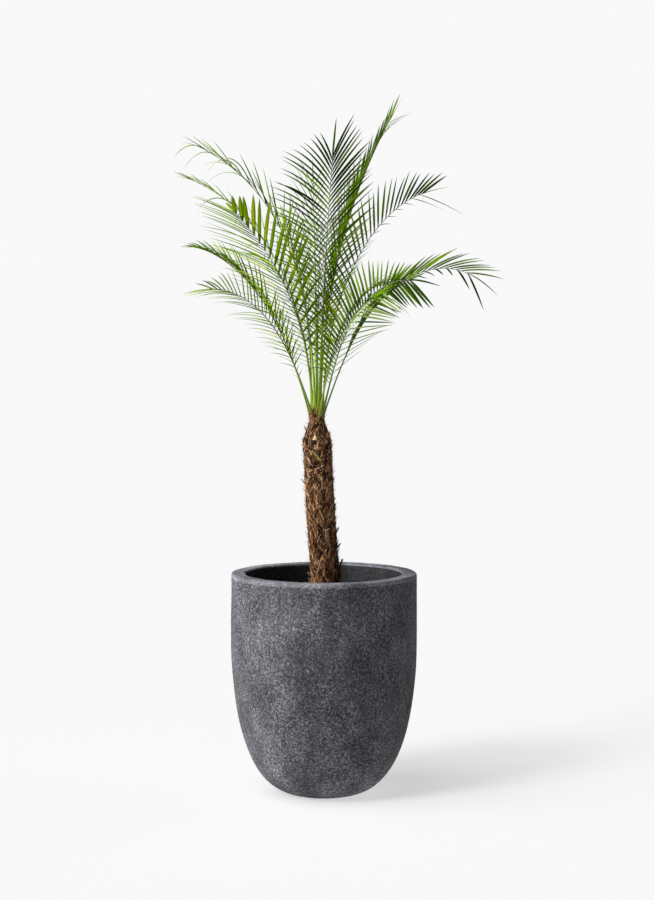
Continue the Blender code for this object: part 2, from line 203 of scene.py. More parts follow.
# Fibres, which sheathe the feet of the stalks too. Of each kind: how many, their shortest and longest
# length, the share that stands out loose, the stations along each, and the share of each colour.
FIBRE_SEED = 51
FIBRE_BELOW = 0.002
FIBRE_TOP = 0.792
FIBRE_HEADING = 0.28
FIBRE_HEADING_SCATTER = 0.42
FIBRE_SWAY = 0.0012
FIBRE_NARROWS = 0.75
FIBRE_SHEATH_RADIUS = 0.0142
LOOSE_NARROWER = 0.6
FIBRE_WIDTHS = (0.0006, 0.0016)
FIBRE_THICKNESS = 0.0003
FIBRE_CLEARANCE = 0.0012
FLAT_LIFTS = (0.0, 0.0018)
LOOSE_LIFTS = (0.003, 0.0085)
FIBRE_COLOURS = {
    "tan": (0.490, 0.285, 0.138),
    "rust": (0.240, 0.080, 0.026),
    "dark": (0.010, 0.006, 0.005),
    "straw": (0.800, 0.580, 0.330),
    "brown": (0.080, 0.032, 0.015),
}
Fibres = namedtuple("Fibres", "count shortest longest loose stations shares")
FIBRES = {
    "trunk_fibres": Fibres(1500, 0.009, 0.026, 0.24, 6, (0.18, 0.17, 0.40, 0.12, 0.13)),
    "trunk_chaff": Fibres(3600, 0.0025, 0.0085, 0.20, 3, (0.20, 0.14, 0.47, 0.14, 0.05)),
}

# Marks on the front of the trunk: metres across from its middle, height of the lower end, degrees
# turned from straight up, length, width, how far the upper end lifts off, and colour
MARK_THICKNESS = 0.0012
MARK_STATIONS = 10
MARK_COLOURS = {
    "black": (0.012, 0.010, 0.009),
    "cream": (0.560, 0.440, 0.200),
    "olive": (0.170, 0.150, 0.030),
    "pale": (0.480, 0.370, 0.260),
    "tan": (0.420, 0.270, 0.160),
    "yellow": (0.520, 0.430, 0.060),
}
Mark = namedtuple("Mark", "across low turned length width lift colour")
MARKS = [
    Mark(0.0045, 0.688, -36, 0.026, 0.0056, 0.001, "olive"),
    Mark(0.0062, 0.688, -36, 0.027, 0.0020, 0.002, "yellow"),
    Mark(-0.0050, 0.731, 8, 0.0100, 0.0085, 0.001, "cream"),
    Mark(-0.0068, 0.7135, 84, 0.0170, 0.0018, 0.001, "tan"),
    Mark(-0.0215, 0.664, 4, 0.0200, 0.0016, 0.001, "tan"),
    Mark(0.0060, 0.566, -18, 0.0310, 0.0016, 0.001, "pale"),
    Mark(-0.0035, 0.595, 70, 0.0110, 0.0016, 0.001, "pale"),
    Mark(0.0040, 0.546, 78, 0.0230, 0.0026, 0.003, "tan"),
    Mark(-0.0075, 0.604, 20, 0.0075, 0.0024, 0.001, "pale"),
    Mark(-0.0105, 0.520, 24, 0.0200, 0.0014, 0.001, "pale"),
    Mark(-0.0020, 0.520, -24, 0.0180, 0.0014, 0.001, "tan"),
    Mark(-0.0285, 0.590, -60, 0.0120, 0.0016, 0.007, "black"),
    Mark(0.0285, 0.446, 6, 0.0380, 0.0034, 0.009, "black"),
    Mark(0.0300, 0.444, 8, 0.0390, 0.0012, 0.011, "pale"),
]

# Fronds, by the same figures as the solids
RIB_RADIUS = 0.0021
RIB_STEPS = 96
FOOT_CLEARANCE = 0.0006
LEAFLET_BASE_ANGLE = math.radians(62)
LEAFLET_TIP_ANGLE = math.radians(27)
LEAFLET_LONGEST_AT = 0.42
LEAFLET_SHORTEST_SHARE = 0.5
LEAFLET_TIP_SHARE = 0.68

# Each frond: the way it leans round the trunk, the height of its foot, the length of its rib, its
# slope at foot and tip, the power that keeps the change of slope for the tip, how far its heading
# swings round, how far its leaflets fold up from level, how far it rolls about its rib, how widely
# its leaflets spread, the length of the longest, how far they hang, and the share that is bare stalk
Frond = namedtuple("Frond", "lean foot length slope_foot slope_tip late swing fold roll spread leaf sag "
                            "stalk")
FRONDS = {
    "frond_upright_front": Frond(-66, 0.785, 0.525, 84, 75, 2.4, -5, 12, 0, 1.05, 0.145, 0.10, 0.24),
    "frond_olive_front": Frond(-108, 0.785, 0.41, 90, 53, 0.75, -5, 26, 0, 0.90, 0.112, 0.12, 0.26),
    "frond_upright_back": Frond(94, 0.785, 0.48, 88, 66, 1.5, 0, 24, 0, 0.90, 0.115, 0.08, 0.26),
    "frond_high_right": Frond(43, 0.785, 0.645, 90, 57, 0.97, -9, 60, -20, 0.60, 0.090, 0.02, 0.28),
    "frond_high_left": Frond(158, 0.785, 0.615, 90, 27, 1.8, 25, 44, 20, 0.78, 0.088, 0.22, 0.30),
    "frond_broad_left": Frond(226, 0.785, 0.455, 90, 45, 0.9, -25, 26, 55, 0.95, 0.138, 0.06, 0.24),
    "frond_far_left": Frond(137, 0.778, 0.635, 90, 19, 1.1, 7, 40, 0, 0.80, 0.085, 0.16, 0.32),
    "frond_mid_right": Frond(25, 0.778, 0.59, 88, 13, 1.5, 25, 54, 0, 0.85, 0.098, 0.06, 0.28),
    "frond_side_left": Frond(163, 0.778, 0.47, 73, 12, 1.75, -25, 46, 0, 0.75, 0.090, 0.08, 0.26),
    "frond_low_left": Frond(231, 0.778, 0.43, 64, -2, 1.7, 2, 30, 30, 0.85, 0.085, 0.24, 0.24),
    "frond_long_right": Frond(2, 0.778, 0.49, 71, -24, 2.2, 25, 36, -30, 0.85, 0.110, 0.24, 0.26),
    "frond_brushy_right": Frond(-36, 0.778, 0.375, 74, -5, 2.7, 8, 36, -50, 0.85, 0.090, 0.16, 0.22),
    "frond_low_right": Frond(-60, 0.778, 0.34, 76, 14, 1.2, -4, 34, 0, 0.85, 0.085, 0.16, 0.24),
    "frond_back_left": Frond(113, 0.778, 0.46, 76, 8, 1.5, 0, 34, 0, 0.85, 0.105, 0.14, 0.26),
    "frond_back_middle": Frond(88, 0.778, 0.50, 80, 18, 1.6, 0, 30, 0, 0.85, 0.110, 0.12, 0.26),
    "frond_back_right": Frond(61, 0.778, 0.44, 74, -4, 1.4, 0, 34, 0, 0.85, 0.105, 0.14, 0.26),
}

# Leaflets: thickness, the degrees by which they are keeled, where on the leafy part the first and
# the last ones grow, how far their sizes vary, how a blade swells and falls off, from which width it
# ends blunter, and how the spines at the foot, the loose ones and the one at the tip differ. SCATTER
# is in degrees for fold and twist, in radians for spread.
LEAFLET_THICKNESS = 0.0006
LEAFLET_STATIONS = 11
LEAFLET_CREASE = 34
LEAFLET_EDGE_CREASE = 7
LEAFLET_FIRST = -0.04
LEAFLET_LAST = 0.975
LEAFLET_LENGTHS = (0.92, 1.03)
LEAFLET_WIDTHS = (0.88, 1.08)
BLADE_FOOT = 0.45
BLADE_FULL_AT = 0.28
BLADE_FALL = 0.975
BLADE_BLUNTNESS = 3.0
HAND_STAGGER = 0.4
WIDE_FROM = 0.0065
WIDEST_MORE = 0.006
WIDE_BLUNTNESS = 500
SPINE_LENGTH = 0.55
SPINE_WIDTH = 0.5
LOOSE_LENGTH = 1.3
LOOSE_ARCHES = (0.55, 1.1)
TIP_LENGTH = 0.85
TIP_WIDTH = 0.7
SCATTER = {"fold": 7, "spread": 0.06, "twist": 12, "arch": 0.05, "curl": 0.03}

# Leaf greens, as plain base colours dealt out leaflet by leaflet, each with the darker green that is painted
# over the first lengths of such a leaflet as painted shade in its fold by the rib
SHADED_LENGTHS = 2
Green = namedtuple("Green", "colour foot")
GREENS = {
    "bluish": Green((0.036, 0.120, 0.022), "deep"),
    "dark": Green((0.044, 0.098, 0.002), "deep"),
    "deep": Green((0.016, 0.044, 0.001), "deep"),
    "fresh": Green((0.195, 0.335, 0.004), "dark"),
    "grey": Green((0.125, 0.175, 0.060), "dark"),
    "mid": Green((0.105, 0.205, 0.003), "dark"),
    "olive": Green((0.155, 0.205, 0.005), "dark"),
    "pale": Green((0.330, 0.440, 0.110), "mid"),
    "yellowish": Green((0.330, 0.440, 0.008), "mid"),
}

# How each frond looks: the gap between its leaflets along the rib, the power with which they close
# towards the tip, the share that hangs loose and how much they scatter. Then for its left (-1) and
# its right (+1) hand: one leaflet in how many grows in the lower and the upper half, the leaflets'
# width at foot and tip, their length against the solid's at the places in REACH_AT, the twist of
# the blades in degrees, how far they open against the solid's, how strongly they arch down, the
# degrees added to the fold, and the greens with their shares at foot and tip. Where open and fold
# have several values, these are at even steps from foot to tip.
Look = namedtuple("Look", "gap lag loose scatter left right")
Hand = namedtuple("Hand", "each width reach twist open arch fold greens")
REACH_AT = (0.0, 0.5, 0.85, 1.0)
PLAIN = (1.0, 1.0)
DEEP = {"deep": 5, "dark": 3, "mid": 1}
LEAFY = {"dark": 3, "mid": 4, "fresh": 3}
BLUISH = {"bluish": 4, "dark": 2, "mid": 2}
BRIGHT = {"mid": 3, "fresh": 4, "yellowish": 1}
SUNNY = {"yellowish": 4, "fresh": 4, "olive": 2}
DUSKY = {"deep": 3, "dark": 4, "mid": 2}
DULL = {"grey": 3, "olive": 2, "dark": 3, "mid": 2}
WASHED = {"pale": 4, "yellowish": 2, "fresh": 2, "mid": 2}
FADED = {"pale": 4, "bluish": 1, "mid": 1}
GREYED = {"grey": 4, "mid": 1}
MIXED = {"olive": 3, "mid": 3, "dark": 3, "fresh": 2}
BACK = Hand((2, 1), (0.0038, 0.0036), (0.7, 0.9, 1.0, 1.0), 35, PLAIN, 0.14, 0, (BRIGHT, LEAFY))
LOOKS = {
    "frond_upright_front": Look(
        0.0094, 5, 0.0, 0.3,
        Hand((1, 1), (0.0038, 0.0052), (0.80, 1.05, 1.05, 0.68), 12, (0.72, 0.84), 0.26, 0, (BRIGHT, DEEP)),
        Hand((1, 1), (0.0038, 0.0072), (0.75, 1.0, 1.03, 1.0), 12, (0.62, 0.72), 0.12, 0, (LEAFY, DEEP))),
    "frond_olive_front": Look(
        0.0165, 1, 0.0, 0.5,
        Hand((1, 1), (0.0038, 0.0044), (0.7, 0.8, 0.9, 0.9), 25, (0.85, 0.85), 0.12, 0, (MIXED, SUNNY)),
        Hand((1, 1), (0.0034, 0.0040), (0.7, 0.8, 0.9, 0.9), 30, (0.85, 0.85), 0.12, 0, (LEAFY, BRIGHT))),
    "frond_upright_back": Look(
        0.0165, 1, 0.0, 0.3,
        Hand((2, 1), (0.0040, 0.0040), (0.7, 1.0, 1.0, 1.0), 35, PLAIN, 0.10, 0, (LEAFY, BRIGHT)),
        Hand((1, 1), (0.0044, 0.0040), (0.8, 1.1, 1.0, 1.0), 35, PLAIN, 0.10, 0, (LEAFY, LEAFY))),
    "frond_high_right": Look(
        0.0105, 1, 0.0, 0.5,
        Hand((1, 1), (0.0032, 0.0018), (1.6, 1.4, 0.5, 0.95), 20, (1.15, 1.0, 0.85, 0.7, 0.6, 2.3), 0.10,
             (0, 0, 0, 0, 0, -120), (GREYED, GREYED)),
        Hand((1, 1), (0.0056, 0.0030), (0.9, 1.0, 1.05, 1.2), 30, (0.50, 0.45), 0.02, 0, (LEAFY, LEAFY))),
    "frond_high_left": Look(
        0.0230, 1, 0.36, 0.8,
        Hand((1, 1), (0.0040, 0.0026), (1.2, 1.2, 1.1, 1.1), 25, (0.50, 0.50), 0.05, 0, (LEAFY, LEAFY)),
        Hand((1, 1), (0.0048, 0.0026), (1.3, 1.2, 1.0, 1.0), 25, (0.90, 0.60), 0.10, 0, (LEAFY, WASHED))),
    "frond_broad_left": Look(
        0.0090, 1, 0.0, 0.5,
        Hand((1, 1), (0.0038, 0.0050), (1.1, 1.15, 1.15, 1.1), 25, PLAIN, 0.12, 0, (SUNNY, BRIGHT)),
        Hand((2, 2), (0.0078, 0.0112), (0.66, 0.90, 0.72, 0.40), 10, (1.05, 1.1), 0.04, 0, (BRIGHT, SUNNY))),
    "frond_far_left": Look(
        0.0330, 1, 0.30, 0.8,
        Hand((1, 1), (0.0030, 0.0024), (1.1, 1.1, 1.0, 1.0), 25, (0.45, 0.45), 0.08, 0, (GREYED, GREYED)),
        Hand((1, 1), (0.0032, 0.0024), (1.1, 1.1, 1.0, 0.9), 25, (0.50, 0.50), 0.10, 0, (LEAFY, GREYED))),
    "frond_mid_right": Look(
        0.0135, 1.5, 0.0, 0.4,
        Hand((1, 2), (0.0026, 0.0036), (0.9, 0.3, 0.2, 1.8), 25, (0.6, 2.0), 0.1, (0, -100), (WASHED, DUSKY)),
        Hand((1, 1), (0.0064, 0.0054), (0.9, 1.05, 1.30, 1.85), 15, (1.05, 0.95, 0.85, 0.58), 0.03, 0,
             (LEAFY, BLUISH))),
    "frond_side_left": Look(
        0.0150, 1, 0.04, 0.5,
        Hand((1, 1), (0.0044, 0.0030), (1.1, 1.15, 1.0, 0.9), 20, (0.65, 0.65), 0.12, 0, (LEAFY, DUSKY)),
        Hand((1, 1), (0.0052, 0.0030), (1.1, 1.25, 0.9, 0.8), 25, (0.80, 0.60), 0.30, 0, (LEAFY, DUSKY))),
    "frond_low_left": Look(
        0.0115, 2, 0.0, 0.6,
        Hand((1, 1), (0.0038, 0.0040), (0.8, 1.0, 1.2, 1.3), 25, (1.0, 1.6), 0.20, 0, (FADED, FADED)),
        Hand((1, 1), (0.0048, 0.0040), (0.8, 0.95, 1.0, 1.2), 30, (0.85, 0.85), 0.10, 0, (DUSKY, FADED))),
    "frond_long_right": Look(
        0.0125, 1, 0.0, 0.5,
        Hand((1, 1), (0.0054, 0.0038), (0.9, 0.7, 1.05, 1.2), 25, (0.14, 0.80), 0.12, 0, (DULL, MIXED)),
        Hand((1, 2), (0.0054, 0.0052), (0.9, 0.5, 0.3, 1.35), 20, (0.14, 1.5), 0.15, (0, -66),
             (DUSKY, DEEP))),
    "frond_brushy_right": Look(
        0.0080, 6, 0.0, 0.4,
        Hand((1, 1), (0.0078, 0.0062), (1.35, 1.1, 0.68, 0.7), 15, (1.30, 1.0), 0.05, 0, (MIXED, DULL)),
        Hand((2, 1), (0.0022, 0.0084), (1.8, 0.9, 0.85, 1.35), 15, (0.8, 1.7), 0.05, (0, -76),
             (FADED, DEEP))),
    "frond_low_right": Look(
        0.0100, 1, 0.05, 0.5,
        Hand((1, 1), (0.0052, 0.0038), (0.9, 1.0, 1.0, 0.9), 30, PLAIN, 0.18, 0, (LEAFY, DUSKY)),
        Hand((1, 1), (0.0028, 0.0026), (0.9, 1.5, 1.5, 1.1), 30, PLAIN, 0.14, 0, (FADED, DUSKY))),
    "frond_back_left": Look(0.0185, 1, 0.0, 0.5, BACK, BACK),
    "frond_back_middle": Look(0.0185, 1, 0.0, 0.5, BACK, BACK),
    "frond_back_right": Look(0.0185, 1, 0.0, 0.5, BACK, BACK),
}

# Stalks and ribs: half width and depth at the tip, how much thicker they are at the foot and how
# much more they clasp the trunk there, and the length over which the clasp fades
RIB_CORNERS = 12
RIB_STATIONS = 84
RIB_STATIONS_GATHER = 1.15
RIB_END = 0.0005
RIB_HALF_WIDTH = 0.0016
RIB_DEPTH = 0.0013
CLASP_HALF_WIDTH = 0.0034
CLASP_DEPTH = 0.0004
CLASP_FADE = 0.020
ROOT_BELOW = (-0.014, -0.002)
ROOT_STATIONS = 5
SHEATHED_LENGTHS = 4
RACHIS_FROM = 0.42
THIN_FROM = 0.75
BRIGHT_STALKS = ("frond_upright_front", "frond_olive_front", "frond_low_right", "frond_mid_right")
STOUT_STALKS = {"frond_upright_front": 1.8, "frond_olive_front": 1.5}
RIB_COLOURS = {
    "petiole": (0.115, 0.190, 0.014),
    "bright": (0.220, 0.300, 0.020),
    "rachis": (0.075, 0.100, 0.020),
    "thin": (0.150, 0.165, 0.080),
    "sheath": (0.160, 0.078, 0.028),
}

# Unopened frond
SPEAR_RADIUS = 0.0036
SPEAR_TURNS = 40
SPEAR_RINGS = 70
SPEAR_PLEATS = 8
SPEAR_TWIST = 9
SPEAR_PLEAT_DEPTH = 0.10
SPEAR_ROOT = 0.006
SPEAR_SHORTFALL = 0.002


def unit(vectors):
    """Vectors along the last axis, each divided by its length."""
    return vectors / np.linalg.norm(vectors, axis=-1, keepdims=True)


def waves(turn, height, field):
    """A rough field over a round piece: the sum of seeded cosine waves, each with a whole number
    of turns round the axis and its own number of waves up it, over the root of their number."""
    draw = np.random.default_rng(field.seed)
    total = np.zeros(np.broadcast(turn, height).shape)
    for _ in range(field.count):
        turns = draw.integers(-field.around, field.around + 1)
        climb = draw.uniform(-field.along, field.along) + field.slant * turns
        total += np.cos(turns * turn + climb * height + draw.uniform(0, 2 * math.pi))
    return total / math.sqrt(field.count)


def round_turn(count):
    """Even angles once round, without the last, which is the first again."""
    return np.linspace(0, 2 * math.pi, count, endpoint=False)


def outward_at(turn):
    """Level directions away from the axis at angles round it."""
    return np.stack([np.cos(turn), np.sin(turn), np.zeros_like(turn)], -1)


def sideways_at(turn):
    """Level directions round the axis at angles round it."""
    return np.stack([-np.sin(turn), np.cos(turn), np.zeros_like(turn)], -1)


def new_piece(name, vertices, faces, finishes):
    """A smooth mesh object at the origin, made from arrays."""
    mesh = bpy.data.meshes.new(name)
    mesh.from_pydata(vertices, [], faces)
    for finish in finishes:
        mesh.materials.append(finish)
    mesh.polygons.foreach_set("use_smooth", np.ones(len(mesh.polygons), bool))
    piece = bpy.data.objects.new(name, mesh)
    bpy.context.scene.collection.objects.link(piece)
    return piece


def wrapped_surface(name, points, finishes, bands=None):
    """A surface turned round an axis: points[row, column] with the columns closing on themselves
    and the first and last row closed by one point in their middle. bands gives each gap between
    two rows its finish."""
    rows, columns = points.shape[:2]
    r, c = np.meshgrid(np.arange(rows - 1), np.arange(columns), indexing="ij")
    after = (c + 1) % columns
    here, above = r * columns, (r + 1) * columns
    quads = np.stack([here + c, here + after, above + after, above + c], -1)
    first, last = rows * columns, rows * columns + 1
    around = np.arange(columns)
    beyond = (around + 1) % columns
    start = np.stack([np.full(columns, first), beyond, around], -1)
    end = np.stack([np.full(columns, last), (rows - 1) * columns + around, (rows - 1) * columns + beyond], -1)
    vertices = np.vstack([points.reshape(-1, 3), points[0].mean(0), points[-1].mean(0)])
    faces = quads.reshape(-1, 4).tolist() + start.tolist() + end.tolist()
    piece = new_piece(name, vertices, faces, finishes)
    if bands is not None:
        index = np.repeat(np.concatenate([bands, bands[:1], bands[-1:]]), columns)
        piece.data.polygons.foreach_set("material_index", index.astype(np.int32))
        piece.data.update()
    return piece


def joined_rods(name, rings, kinds, finishes, creased=True):
    """Many closed rods as one mesh: rings[rod, station, corner] with the corners closing on
    themselves, and both end rings capped. kinds gives each rod, or each of its lengths, its finish.
    When creased, the lines along a rod stay sharp."""
    rods, stations, corners = rings.shape[:3]
    n, s, k = np.meshgrid(np.arange(rods), np.arange(stations - 1), np.arange(corners), indexing="ij")
    base = (n * stations + s) * corners
    after = (k + 1) % corners
    quads = np.stack([base + k, base + after, base + corners + after, base + corners + k], -1).reshape(-1, 4)
    first = np.arange(rods)[:, None] * stations * corners + np.arange(corners)[::-1]
    last = np.arange(rods)[:, None] * stations * corners + (stations - 1) * corners + np.arange(corners)
    faces = quads.tolist() + first.tolist() + last.tolist()
    piece = new_piece(name, rings.reshape(-1, 3), faces, finishes)
    kinds = np.broadcast_to(np.reshape(kinds, (rods, -1)), (rods, stations - 1))
    index = np.concatenate([np.repeat(kinds.ravel(), corners), kinds[:, 0], kinds[:, -1]])
    piece.data.polygons.foreach_set("material_index", index.astype(np.int32))
    if creased:
        ends = np.zeros(len(piece.data.edges) * 2, np.int32)
        piece.data.edges.foreach_get("vertices", ends)
        apart = np.abs(ends[0::2] - ends[1::2])
        sharp = piece.data.attributes.new("sharp_edge", "BOOLEAN", "EDGE")
        sharp.data.foreach_set("value", apart == corners)
    piece.data.update()
    return piece


def stand_in(piece, slot, *nodes):
    """The piece rides on the part and stands for these solids, which it hides. The slot is not used."""
    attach(piece, "root")
    if nodes:
        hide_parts(*nodes)


def principled(name, colour, roughness, specular=0.5):
    """A material with a plain colour, and its nodes for what is added to it."""
    finish = bpy.data.materials.new(name)
    finish.use_nodes = True
    shader = finish.node_tree.nodes["Principled BSDF"]
    shader.inputs["Base Color"].default_value = (*colour, 1.0)
    shader.inputs["Roughness"].default_value = roughness
    shader.inputs["Specular IOR Level"].default_value = specular
    return finish, finish.node_tree, shader


def plain_finishes(prefix, colours, roughness, specular=0.08):
    """One plain material for each named colour."""
    return [principled(f"{prefix}_{name}", colour, roughness, specular)[0]
            for name, colour in colours.items()]


def grey(value):
    """A grey of this value."""
    return value, value, value


def noise(tree, scale, detail, stretch=(1.0, 1.0, 1.0), roughness=0.6):
    """A noise on object coordinates, with its grain per metre and a stretch along each axis."""
    place = tree.nodes.new("ShaderNodeTexCoord")
    mapping = tree.nodes.new("ShaderNodeMapping")
    mapping.inputs["Scale"].default_value = stretch
    pattern = tree.nodes.new("ShaderNodeTexNoise")
    pattern.inputs["Scale"].default_value = scale
    pattern.inputs["Detail"].default_value = detail
    pattern.inputs["Roughness"].default_value = roughness
    tree.links.new(place.outputs["Object"], mapping.inputs["Vector"])
    tree.links.new(mapping.outputs["Vector"], pattern.inputs["Vector"])
    return pattern.outputs["Fac"]


def ramp(tree, value, stops):
    """Colours along a value: each stop is a position and a colour."""
    node = tree.nodes.new("ShaderNodeValToRGB")
    while len(node.color_ramp.elements) < len(stops):
        node.color_ramp.elements.new(0.5)
    for element, (position, colour) in zip(node.color_ramp.elements, stops):
        element.position = position
        element.color = (*colour, 1.0)
    tree.links.new(value, node.inputs["Fac"])
    return node.outputs["Color"]


def mixed(tree, share, under, over, way="MIX"):
    """Two colours mixed, the share being a number or a socket."""
    node = tree.nodes.new("ShaderNodeMix")
    node.data_type = "RGBA"
    node.blend_type = way
    for socket, value in ((node.inputs[0], share), (node.inputs[6], under), (node.inputs[7], over)):
        if isinstance(value, bpy.types.NodeSocket):
            tree.links.new(value, socket)
        elif isinstance(value, tuple):
            socket.default_value = (*value, 1.0)
        else:
            socket.default_value = value
    return node.outputs[2]


def bump(tree, shader, height, distance, strength=1.0):
    """Relief from a height, in metres."""
    node = tree.nodes.new("ShaderNodeBump")
    node.inputs["Distance"].default_value = distance
    node.inputs["Strength"].default_value = strength
    tree.links.new(height, node.inputs["Height"])
    tree.links.new(node.outputs["Normal"], shader.inputs["Normal"])


def clay_finish(name, clay):
    """Charcoal fibre clay: clouded dark grey with pale worn grains and dark pits of a few millimetres,
    smoother in some places than in others, and paler at its foot with painted bounce light from the floor.
    Its shade lightens or darkens it all, as painted shade inside and painted light on the rim, and its grain
    says how strongly the grains and pits show."""
    finish, tree, shader = principled(name, (0.06, 0.06, 0.065), 0.85, 0.2)
    tones = [tuple(clay.shade * part for part in tone) for tone in CLAY_TONES]
    fleck = tuple(min(clay.shade, 1.0) * part for part in CLAY_FLECK)
    clouds = ramp(tree, noise(tree, 15.0, 5.0, (1.0, 1.0, 0.7), 0.68), list(zip((0.34, 0.50, 0.66), tones)))
    height = tree.nodes.new("ShaderNodeSeparateXYZ")
    tree.links.new(tree.nodes.new("ShaderNodeTexCoord").outputs["Object"], height.inputs["Vector"])
    # painted light: the foot made paler by height, standing in for light bounced up from the floor
    painted_foot_light = ramp(tree, height.outputs["Z"], [(z, grey(lift)) for z, lift in FOOT_BOUNCE_LIGHT])
    clouds_with_foot_light = mixed(tree, 1.0, clouds, painted_foot_light, "MULTIPLY")
    rough = ramp(tree, noise(tree, 9.0, 3.0), [(0.40, grey(0.68 * clay.grain)), (0.58, grey(clay.grain))])
    grain = ramp(tree, noise(tree, 245.0, 3.0, roughness=0.85),
                 [(0.34, grey(0.12)), (0.49, grey(0.82)), (0.66, grey(3.9))])
    grained = mixed(tree, rough, clouds_with_foot_light, grain, "MULTIPLY")
    patches = ramp(tree, noise(tree, 22.0, 5.0, roughness=0.75), [(0.48, grey(0.0)), (0.66, grey(0.9))])
    flecks = ramp(tree, noise(tree, 300.0, 2.0), [(0.58, grey(0.0)), (0.70, grey(clay.grain))])
    worn = mixed(tree, mixed(tree, 1.0, patches, flecks, "MULTIPLY"), grained, fleck)
    tree.links.new(worn, shader.inputs["Base Color"])
    bump(tree, shader, noise(tree, 260.0, 5.0, roughness=0.75), 0.0012, 0.8)
    return finish


def soil_finish():
    """Dark potting soil: near black brown with lighter crumbs."""
    finish, tree, shader = principled("potting_soil", (0.03, 0.02, 0.014), 0.95, 0.25)
    colour = ramp(tree, noise(tree, 160.0, 6.0, roughness=0.7), SOIL_TONES)
    tree.links.new(colour, shader.inputs["Base Color"])
    bump(tree, shader, noise(tree, 300.0, 6.0, roughness=0.75), 0.002)
    return finish


def bark_finish():
    """The fibrous ground of the trunk: dark red brown, streaked up and down."""
    finish, tree, shader = principled("fibrous_bark", (0.10, 0.05, 0.03), 0.92, 0.25)
    streaks = ramp(tree, noise(tree, 260.0, 6.0, (1.0, 1.0, 0.22), 0.72), BARK_TONES)
    tree.links.new(streaks, shader.inputs["Base Color"])
    bump(tree, shader, noise(tree, 420.0, 6.0, (1.0, 1.0, 0.3), 0.75), 0.0016)
    return finish


def pot_walls():
    """The planter's outer and inner wall as (radius, height) from the foot up: a cubic curve, and
    the same curve moved in by the wall, from where the floor meets it."""
    start = np.array([POT_FOOT_RADIUS + POT_FOOT_BEVEL, POT_FOOT_BEVEL * math.tan(POT_RISE_ANGLE)])
    rise = np.array([math.cos(POT_RISE_ANGLE), math.sin(POT_RISE_ANGLE)])
    end = np.array([POT_RADIUS, POT_SHOULDER])
    s = np.linspace(0.0, 1.0, POT_STEPS)[:, None]
    outer = ((1 - s) ** 3 * start + 3 * (1 - s) ** 2 * s * (start + POT_LOWER_PULL * rise)
             + 3 * (1 - s) * s ** 2 * (end - np.array([0.0, POT_UPPER_PULL])) + s ** 3 * end)
    along = unit(np.gradient(outer, axis=0))
    inner = outer + POT_WALL * np.stack([-along[:, 1], along[:, 0]], axis=1)
    return outer, inner[inner[:, 1] > POT_INSIDE_FROM][::POT_INNER_EVERY]


def pot_profile():
    """The planter's section as (radius, height), from the middle of its floor over the rim to the
    middle of its foot, with quarter circles round the rim, and the number of the finish between
    each point and the next."""
    outer, inner = pot_walls()
    level = POT_HEIGHT - POT_RIM_ROUND
    quarter = np.radians(np.linspace(180, 90, RIM_ROUND_STEPS))
    arc = POT_RIM_ROUND * np.stack([np.cos(quarter), np.sin(quarter)], axis=1)
    inner_rim = arc + (POT_RADIUS - POT_WALL + POT_RIM_ROUND, level)
    outer_rim = arc[::-1] * (-1, 1) + (POT_RADIUS - POT_RIM_ROUND, level)
    top = np.linspace(inner_rim[-1], outer_rim[0], RIM_FLAT_STEPS)[1:-1]
    collar = np.linspace(outer_rim[-1], outer[-1], RIM_FLAT_STEPS)[1:-1]
    floor = np.array([[inner[0, 0] * 0.5, POT_FLOOR_MIDDLE], [inner[0, 0] * 0.9, POT_FLOOR_EDGE]])
    foot = np.array([[POT_FOOT_RADIUS, 0.0]])
    parts = [floor, inner, inner_rim, top, outer_rim, collar, outer[::-1], foot]
    # Finish 0 is the inside with painted shade, 1 the rim with painted light, 2 the outside
    bands = np.repeat([0, 0, 1, 1, 1, 2, 2, 2], [len(part) for part in parts])
    return np.vstack(parts), bands[:-1]


def make_pot():
    """The profile turned round Z, with its radius shifted by clouded and grainy waves and the height
    of its rim by grainy ones."""
    profile, bands = pot_profile()
    turn = round_turn(POT_TURNS)
    r, z = profile[:, 0][:, None], profile[:, 1][:, None]
    rough = POT_CLOUD * waves(turn, z, POT_CLOUD_FIELD) + POT_GRAIN * waves(turn, z, POT_GRAIN_FIELD)
    radius = np.minimum(r + rough * np.clip(z / POT_CALM_FOOT, 0, 1), POT_RADIUS + POT_MOST_SWELL)
    rim_rough = RIM_GRAIN * waves(turn, r, RIM_GRAIN_FIELD) * (z > POT_HEIGHT - RIM_DEPTH)
    points = np.stack([radius * np.cos(turn), radius * np.sin(turn), z + rim_rough], -1)
    finishes = [clay_finish(name, clay) for name, clay in CLAYS.items()]
    stand_in(wrapped_surface("planter", points[:, ::-1], finishes, bands), "clay", "pot")


def soil_reach():
    """The planter's inner radius at the level of the soil."""
    inner = pot_walls()[1]
    return np.interp(SOIL_LEVEL, inner[:, 1], inner[:, 0])


def make_soil():
    """A disc whose height is a sum of waves, with a skirt going down the wall."""
    turn = round_turn(SOIL_TURNS)
    share = np.concatenate([np.linspace(SOIL_FIRST_RING, 1.0, SOIL_RINGS), [1.0]])[:, None]
    reach = share * (soil_reach() - SOIL_WALL_GAP)
    lumps = waves(turn, reach, SOIL_LUMP_FIELD) + 0.5 * waves(turn, reach, SOIL_GRAIN_FIELD)
    height = SOIL_LEVEL - SOIL_SINK + SOIL_RELIEF * lumps * np.clip(reach / SOIL_CALM_MIDDLE, 0, 1)
    height[-1] = SOIL_LEVEL - SOIL_SKIRT
    points = np.stack([reach * np.cos(turn), reach * np.sin(turn), height], -1)
    stand_in(wrapped_surface("soil_bed", points, [soil_finish()]), "soil", "soil")


